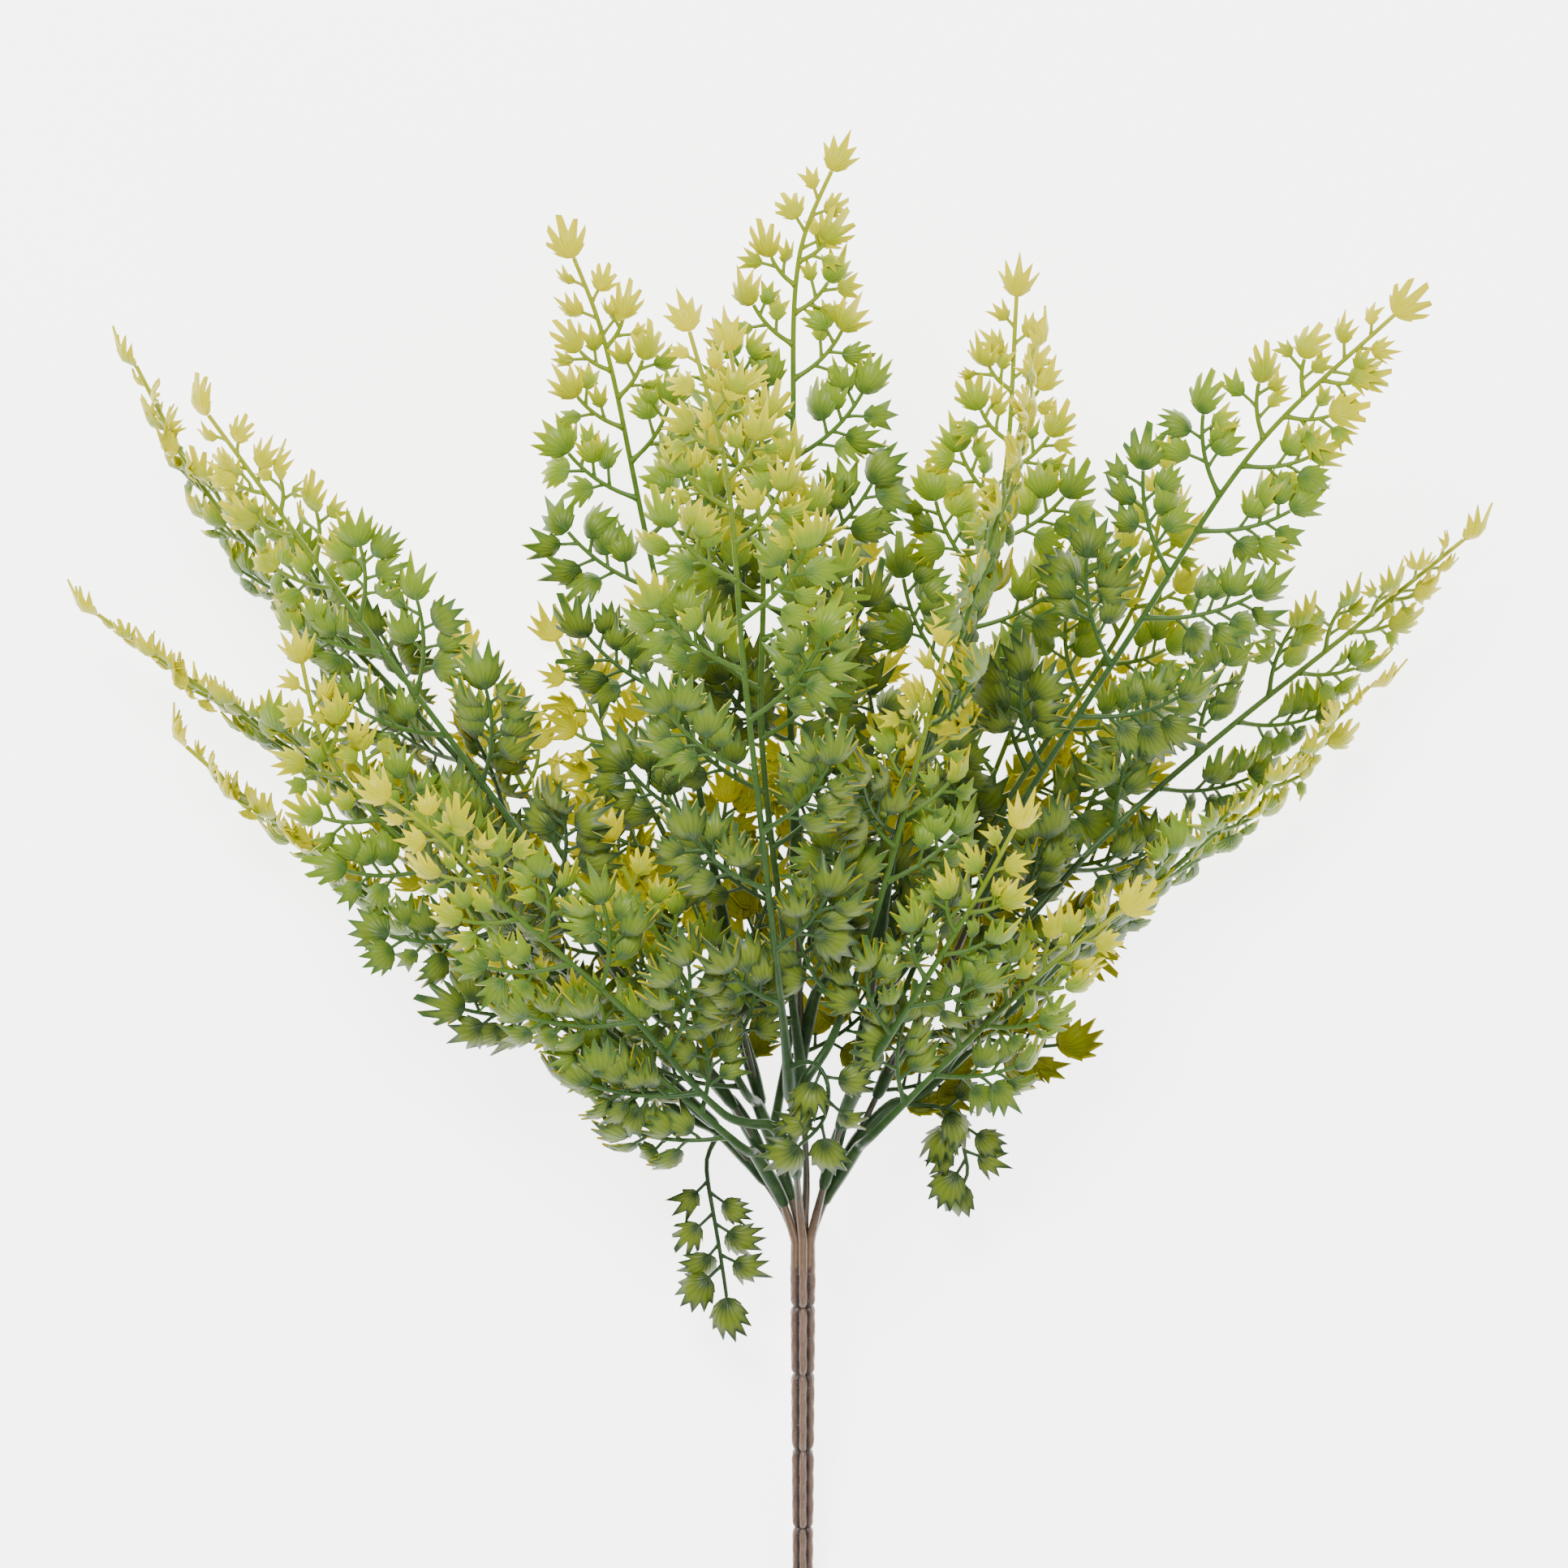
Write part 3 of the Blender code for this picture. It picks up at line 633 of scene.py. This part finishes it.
LEAFLETS = {
    "broad": [leaflet("broad_leaflet", 9, 1, 0.42, 0.80, 0.12, 0.22, 0.60, 0.16),
              leaflet("lobed_leaflet", 9, 1, 0.44, 0.76, 0.20, 0.20, 0.90, 0.08),
              leaflet("folded_leaflet", 9, 1, 0.40, 0.80, 0.14, 0.24, 1.70, 0.20)],
    "hand": [leaflet("hand_leaflet", 7, 1, 0.35, 0.66, 0.16, 0.22, 0.80, 0.06),
             leaflet("blunt_hand_leaflet", 7, 2, 0.36, 0.72, 0.24, 0.20, 0.60, 0.16),
             leaflet("ragged_hand_leaflet", 7, 1, 0.38, 0.70, 0.24, 0.22, 1.10, 0.12)],
    "small": [leaflet("small_leaflet", 5, 1, 0.30, 0.66, 0.16, 0.20, 0.70, 0.10),
              leaflet("slim_leaflet", 5, 1, 0.27, 0.68, 0.16, 0.18, 0.80, 0.16)],
}


def side_leaf_share(share, length):
    """A side leaflet's size as a share of the end one's: largest half-way, and larger on long branches."""
    return 0.56 + 0.14 * math.sin(math.pi * share) + min(max(length - 0.022, 0.0) * 14, 0.20)


class SprayMaker:
    """Collects one spray's leaflets, stalks and rachis, then joins them into one piece."""

    def __init__(self, name):
        self.name = name
        stem_name, beyond, self.roll, points = SPRAYS[name]
        self.stem = ROUTES[stem_name]
        self.on_end = beyond is None
        self.out = Vector()  # the way from the stem to the bar, where the bar stands beside it
        if self.on_end:
            self.foot, self.grip = self.stem.at(self.stem.length)
            start = self.foot + self.grip * STEM_GAP
            first = [start, start + self.grip * SLEEVE_STRAIGHT]
        else:
            self.foot, self.grip = self.stem.at(self.stem.beyond(CROWN.y + beyond * MM))
            normal = self.painted(self.grip)
            side = self.grip.cross(normal)
            towards = place(points[0]) - self.foot
            self.out = max((normal, -normal, side, -side), key=lambda way: way.dot(towards))
            beside = self.foot + self.out * BAR_STAND_OFF
            first = [beside + self.grip * s for s in SLEEVE_START]
        self.route = Route([*first, *(place(p) for p in points)])
        self.leaves = []
        self.thick = []
        self.thin = []
        self.tree = self.corner_tree()

    def painted(self, along):
        """The direction that the painted side faces, square to the rachis."""
        angle = math.radians(self.roll)
        wanted = Vector((math.sin(angle), 0, math.cos(angle)))
        return (wanted - along * wanted.dot(along)).normalized()

    def corner_tree(self):
        """The corners of the spray's CAD solid, for finding how each branch was lifted."""
        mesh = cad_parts[f"spray_{self.name}"].data
        tree = KDTree(len(mesh.vertices))
        for k, corner in enumerate(mesh.vertices):
            tree.insert(corner.co, k)
        tree.balance()
        return tree

    def bar_half(self, along):
        """Half the bar's thickness, at that distance along the route."""
        if along < SLEEVE_LENGTH:
            share = along / SLEEVE_LENGTH
            return SLEEVE_HALF + (ROOT_HALF - SLEEVE_HALF) * share
        share = (along - SLEEVE_LENGTH) / (self.route.length - SLEEVE_LENGTH)
        return ROOT_HALF + (RACHIS_HALF - ROOT_HALF) * share

    def add_leaf(self, kind, point, heading, up, size, twist=LEAF_TWIST):
        """A leaflet with its base at that point, turned a little at random."""
        heading = heading.normalized()
        up = (up - heading * up.dot(heading)).normalized()
        turn = Matrix.Rotation(math.radians(random.uniform(-twist, twist)), 4, heading)
        nod = Matrix.Rotation(math.radians(random.uniform(*LEAF_NOD)), 4, heading.cross(up))
        heading, up = nod @ heading, nod @ (turn @ up)
        up = (up - heading * up.dot(heading)).normalized()
        side = heading.cross(up)
        stretch = random.uniform(*LEAF_STRETCH)
        frame_of = Matrix((side * size * stretch, heading * size, up * size)).transposed().to_4x4()
        frame_of.translation = point
        model = random.choice(LEAFLETS[kind])
        mesh = model.data.copy()
        mesh.transform(frame_of)
        lowest = float(coordinates(mesh)[:, 2].min())
        if lowest < FLOOR_ROOM:
            mesh.transform(Matrix.Translation((0, 0, FLOOR_ROOM - lowest)))
        fill_attribute(mesh, "tone", [random.random()] * len(mesh.vertices))
        leaf = bpy.data.objects.new("leaf", mesh)
        bpy.context.scene.collection.objects.link(leaf)
        self.leaves.append(leaf)

    def add_stalked(self, kind, point, heading, up, stalk, size):
        """A leaflet on its own short stalk."""
        heading = heading.normalized()
        end = point + heading * stalk
        middle = point + heading * stalk * 0.5 - up * stalk * random.uniform(*STALK_SAG)
        into = end + heading * STALK_INTO_LEAF
        self.thin.append([(point, STALK_RADIUS * STALK_FLARE), (middle, STALK_RADIUS), (into, STALK_RADIUS)])
        self.add_leaf(kind, end, heading, up, size)

    def frame_at(self, along, side):
        """The route's point and direction there, the painted side's, and the way out to that side."""
        point, direction = self.route.at(along)
        normal = self.painted(direction)
        return point, direction, normal, direction.cross(normal) * side

    def branch_curve(self, along, side, length, lift):
        """Points, headings and the upward side of a branch that bends towards the spray's tip."""
        point, direction, normal, across = self.frame_at(along, side)
        angle = math.radians(lift)
        out = across * math.cos(angle) + normal * math.sin(angle)
        up = normal * math.cos(angle) - across * math.sin(angle)
        spots = []
        now = point + out * self.bar_half(along) * 0.3
        for k in range(BRANCH_STEPS + 1):
            lean = math.radians(LEAN_AT_FOOT + (LEAN_AT_TIP - LEAN_AT_FOOT) * k / BRANCH_STEPS)
            heading = direction * math.cos(lean) + out * math.sin(lean)
            spots.append((now, heading))
            now = now + heading * length / BRANCH_STEPS
        return spots, up

    def cad_lift(self, along, side, length, leaf):
        """The lift and length of this branch's blade in the CAD solid, or None where it has none."""
        point, direction, normal, across = self.frame_at(along, side)
        best = (BLADE_MATCH, None)
        for shorter in SHORTER:
            for lift in LIFTS:
                angle = math.radians(lift)
                out = across * math.cos(angle) + normal * math.sin(angle)
                up = normal * math.cos(angle) - across * math.sin(angle)
                now = point + out * self.bar_half(along)
                before = 0.0
                for share, _ in BLADE:
                    lean = LEAN_AT_FOOT + (LEAN_AT_TIP - LEAN_AT_FOOT) * (share + before) / 2
                    lean = math.radians(lean)
                    heading = direction * math.cos(lean) + out * math.sin(lean)
                    now = now + heading * (share - before) * length * shorter
                    before = share
                corner = now + heading.cross(up) * (STALK_HALF + BLADE[-1][1] * leaf)
                _, _, gap = self.tree.find((corner.x, corner.y, max(corner.z, BLADE_FLOOR)))
                if gap < best[0]:
                    best = (gap, (lift, shorter))
        return best[1]

    def add_branch(self, along, side, length, leaf):
        """One branch, lifted and cut short as its blade in the CAD solid is."""
        found = self.cad_lift(along, side, length, leaf)
        if found is None:
            return
        lift, shorter = found
        length *= shorter
        end = leaf * END_LEAF
        spots, up = self.branch_curve(along, side, length - end, lift)
        self.dress(spots, up, length, end)

    def dress(self, spots, up, length, end):
        """A branch's bar, its end leaflet, and the stalked leaflets that alternate along it."""
        last = len(spots) - 1
        run = []
        for k, (point, _) in enumerate(spots):
            share = k / last
            flare = BRANCH_FLARE * (1 - min(share * BRANCH_FLARE_RATE, 1.0)) ** 2
            run.append((point, BRANCH_RADIUS * (1 - BRANCH_TAPER * share) + flare))
        self.thick.append(run)
        point, heading = spots[-1]
        near_tip = length < NEAR_TIP
        self.add_leaf("hand" if near_tip else random.choice(("hand", "broad")), point, heading, up, end)
        count = next((some for longest, some in SIDE_LEAVES if length <= longest), MOST_SIDE_LEAVES)
        for k in range(count):
            share = SIDE_LEAF_FIRST + SIDE_LEAF_SPAN * (k + 0.5) / count
            point, heading = spots[round(share * last)]
            way = 1 if (k % 2 == 0) else -1
            across = heading.cross(up) * way
            lean = math.radians(random.uniform(*SIDE_LEAF_LEAN))
            direction = heading * math.cos(lean) + across * math.sin(lean)
            small = near_tip or random.random() < SIDE_LEAF_SMALL
            kind = "small" if small else random.choice(("hand", "broad"))
            stalk = random.uniform(*STALK_LENGTH)
            size = end * side_leaf_share(share, length) * random.uniform(*SIDE_LEAF_VARIES)
            self.add_stalked(kind, point, direction, up, stalk, size)

    def add_tip(self):
        """The spray's end: a terminal leaflet, and single leaflets on short stalks."""
        length = self.route.length
        point, heading = self.route.at(length - TIP_LEAF_BASE)
        self.add_leaf("hand", point, heading, self.painted(heading), TIP_LEAF, TIP_LEAF_TWIST)
        for k, back in enumerate(TIP_SIDES):
            side = 1 if k % 2 else -1
            point, direction, normal, across = self.frame_at(length - back, side)
            lean, stalk, size = (a + b * k for a, b in (TIP_SIDE_LEAN, TIP_SIDE_STALK, TIP_SIDE_SIZE))
            lean = math.radians(lean)
            heading = direction * math.cos(lean) + across * math.sin(lean)
            self.add_stalked("hand" if k else "small", point, heading, normal, stalk, size)

    def add_rachis(self):
        """The rachis, from the sleeve that grips the stem to the terminal leaflet."""
        end = self.route.length - TIP_LEAF_BASE
        below = END_FOOT if self.on_end else SIDE_FOOT
        start = END_FOOT_JOINS if self.on_end else SIDE_FOOT_JOINS
        foot = [self.foot + (self.grip * along + self.out * shift) * MM for along, shift in below]
        on = [self.route.at(start + (end - start) * k / RACHIS_POINTS)[0] for k in range(RACHIS_POINTS + 1)]
        whole = Route([*foot, *on], steps=4)
        joint = whole.length - (end - start)
        run = []
        for k in range(RACHIS_STEPS + 1):
            along = whole.length * k / RACHIS_STEPS
            taper = 1.0 - RACHIS_TAPER * (k / RACHIS_STEPS) ** 2
            thick = self.bar_half(max(along - joint, 0.0)) * taper
            swell = SLEEVE_SWELL * math.exp(-((along - 0.5 * joint) / SLEEVE_SWELL_LENGTH) ** 2)
            lip = min(1.0, SLEEVE_LIP + along / SLEEVE_LIP_LENGTH)
            run.append((whole.at(along)[0], (thick + swell) * lip))
        self.thick.append(run)

    def low_branch(self):
        """The long low branch that hangs from near the foot."""
        along, points = LOW_BRANCHES[self.name]
        start, _ = self.route.at(along * MM)
        route = Route([start, *(place(p) for p in points)])
        reach = route.length - LOW_BRANCH_LEAF_BASE
        spots = [route.at(reach * k / LOW_BRANCH_STEPS) for k in range(LOW_BRANCH_STEPS + 1)]
        self.dress(spots, UP, route.length, LOW_BRANCH_LEAF)

    def build(self):
        """The whole spray as one piece."""
        length = self.route.length
        feet = [(length - back * MM, reach * MM, leaf * MM) for back, reach, leaf in BRANCHES]
        feet = [foot for foot in feet if foot[0] > SMALLEST_FOOT]
        feet.reverse()
        for k, (along, reach, leaf) in enumerate(feet):
            self.add_branch(along, 1 if k % 2 else -1, reach, leaf)
        if self.name in LOW_BRANCHES:
            self.low_branch()
        self.add_tip()
        self.add_rachis()
        thick = tubes("thick", self.thick, 2)
        thin = tubes("thin", self.thin, 0)
        for bar in (thick, thin):
            bar.data.materials.clear()
            bar.data.materials.append(RACHIS)
        for leaf in self.leaves:
            leaf.data.materials.clear()
            leaf.data.materials.append(LEAF)
        only(self.leaves[0])
        for part in (*self.leaves, thick, thin):
            part.select_set(True)
        bpy.ops.object.join()
        piece = bpy.context.object
        piece.name = piece.data.name = f"{self.name}_spray"
        self.set_ripeness(piece)
        return piece

    def set_ripeness(self, piece):
        """Ripeness by the distance from the spray's tip."""
        mesh = piece.data
        spots = coordinates(mesh)
        tip = np.array(self.route.at(self.route.length)[0])
        away = np.linalg.norm(spots - tip, axis=1) / self.route.length
        fill_attribute(mesh, "ripe", np.clip(1.0 - away, 0, 1))


def make_stem(name):
    """A coated wire stem, thicker and browner where it leaves the bundle."""
    route = ROUTES[name]
    run = [(route.points[0] + bundle_axis() * STEM_ROOT, STEM_ROOT_RADIUS)]
    for k in range(STEM_STEPS + 1):
        along = route.length * k / STEM_STEPS
        thicker = (STEM_ROOT_RADIUS - STEM_RADIUS) * math.exp(-(along / STEM_FLARE_LENGTH) ** 2)
        run.append((route.at(along)[0], STEM_RADIUS + thicker))
    stem = tubes(f"{name}_stem", [run], 3)
    away = np.linalg.norm(coordinates(stem.data) - np.array(route.points[0]), axis=1)
    fill_attribute(stem.data, "root", np.exp(-(away / STEM_FLARE_LENGTH) ** 2))
    stem.data.materials.clear()
    stem.data.materials.append(STEM)
    return stem


def round_rise(share):
    """From 0 at 0 to 1 at 1 and beyond, as a quarter circle rises."""
    return math.sqrt(max(1 - (1 - min(share, 1.0)) ** 2, 0.0))


def make_bundle():
    """Six fused lobes round the middle stem, pinched at every notch."""
    rings = round(BUNDLE_LENGTH / BUNDLE_RING)
    deselect()
    bpy.ops.mesh.primitive_circle_add(vertices=BUNDLE_SIDES, radius=1, fill_type="NGON")
    bundle = bpy.context.object
    bundle.name = "moulded_stem_bundle"
    move = {"value": (0, 0, 1)}
    edit(bundle, *[lambda: bpy.ops.mesh.extrude_region_move(TRANSFORM_OT_translate=move)] * rings)
    along = bundle_axis()
    groove_shade = []
    for corner in bundle.data.vertices:
        distance = corner.co.z / rings * BUNDLE_LENGTH
        angle = math.degrees(math.atan2(corner.co.x, corner.co.y))
        lobe = abs(math.sin(math.radians(angle * BUNDLE_LOBES / 2)))
        share = distance / BUNDLE_LENGTH
        radius = BUNDLE_TOP_RADIUS + (BUNDLE_END_RADIUS - BUNDLE_TOP_RADIUS) * share
        gap = min(abs(distance - notch) for notch in (*BUNDLE_NOTCHES, BUNDLE_LENGTH))
        pinch = round_rise(gap / PINCH_REACH)
        crown = round_rise(distance / BUNDLE_CROWN)
        depth = (1 - math.sqrt(1 - min(lobe, 0.999) ** 2)) * BUNDLE_GROOVE
        sway = 1 + 0.03 * math.sin(distance * 900 + angle * 0.09)
        width = PINCH_WAIST + (1 - PINCH_WAIST) * pinch
        width *= BUNDLE_CROWN_WIDTH + (1 - BUNDLE_CROWN_WIDTH) * crown
        size = radius * width * (1 - depth) * sway
        corner.co = CROWN + along * distance + ring_direction(angle) * size
        # Painted shade mask: strongest deep in the grooves between lobes and at the pinched notches.
        groove_shade.append(min(depth / 0.2 + (1 - pinch) * 0.8, 1.0) ** 1.5)
    edit(bundle, lambda: bpy.ops.mesh.normals_make_consistent(inside=False))
    fill_attribute(bundle.data, "groove_shade", groove_shade)
    only(bundle)
    bpy.ops.object.shade_smooth_by_angle(angle=SMOOTH_ANGLE)
    bundle.data.materials.append(BUNDLE)
    return bundle


def attach(piece, node):
    """Put the piece in the place of its CAD node."""
    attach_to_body(piece, "root")
    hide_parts(node)


# ---------------------------------------------------------------- building
LEAF, RACHIS, STEM, BUNDLE = leaf_material(), rachis_material(), stem_material(), bundle_material()
ROUTES = {name: stem_route(name) for name in STEMS}
attach(make_bundle(), "stem_bundle")
for name in STEMS:
    attach(make_stem(name), f"stem_{name}")
for name in SPRAYS:
    attach(SprayMaker(name).build(), f"spray_{name}")
for models in LEAFLETS.values():
    for model in models:
        bpy.data.objects.remove(model, do_unlink=True)


# ---------------------------------------------------------------- floor, light and camera
def make_floor():
    """A plain pale floor, just under the lowest leaflets."""
    deselect()
    bpy.ops.mesh.primitive_plane_add(size=FLOOR_SIZE, location=(0, 0, -FLOOR_ROOM))
    floor = bpy.context.object
    floor.name = "floor"
    shade = Shade("pale floor", {"Base Color": (0.92, 0.92, 0.92, 1), "Specular IOR Level": 0.1,
                                 "Emission Color": (1, 1, 1, 1), "Emission Strength": FLOOR_GLOW})
    shade.roughness(0.75 + shade.noise(8.0) * 0.1)
    floor.data.materials.append(shade.material)


def make_light(name, at, size, power):
    """A square soft light that looks at the middle of the bush."""
    lamp = bpy.data.lights.new(name, "AREA")
    lamp.size = size
    lamp.energy = power
    thing = bpy.data.objects.new(name, lamp)
    thing.location = at
    thing.rotation_euler = (LIGHT_TARGET - Vector(at)).to_track_quat("-Z", "Y").to_euler()
    bpy.context.scene.collection.objects.link(thing)


def make_camera():
    """Straight above, looking down, with +Y at the top of its view."""
    camera = bpy.data.cameras.new("camera")
    camera.lens = CAMERA_LENS
    camera.sensor_width = CAMERA_SENSOR
    camera.clip_end = 20
    thing = bpy.data.objects.new("camera", camera)
    thing.location = (*CAMERA_OVER, CAMERA_VIEW * CAMERA_LENS / CAMERA_SENSOR)
    bpy.context.scene.collection.objects.link(thing)
    bpy.context.scene.camera = thing


def make_world():
    """Even white light from all round."""
    world = bpy.data.worlds.new("studio")
    bpy.context.scene.world = world
    world.use_nodes = True
    world.node_tree.nodes["Background"].inputs["Color"].default_value = (1, 1, 1, 1)
    world.node_tree.nodes["Background"].inputs["Strength"].default_value = WORLD_LIGHT


make_floor()
for name, (at, size, power) in LIGHTS.items():
    make_light(name, at, size, power)
make_world()
make_camera()
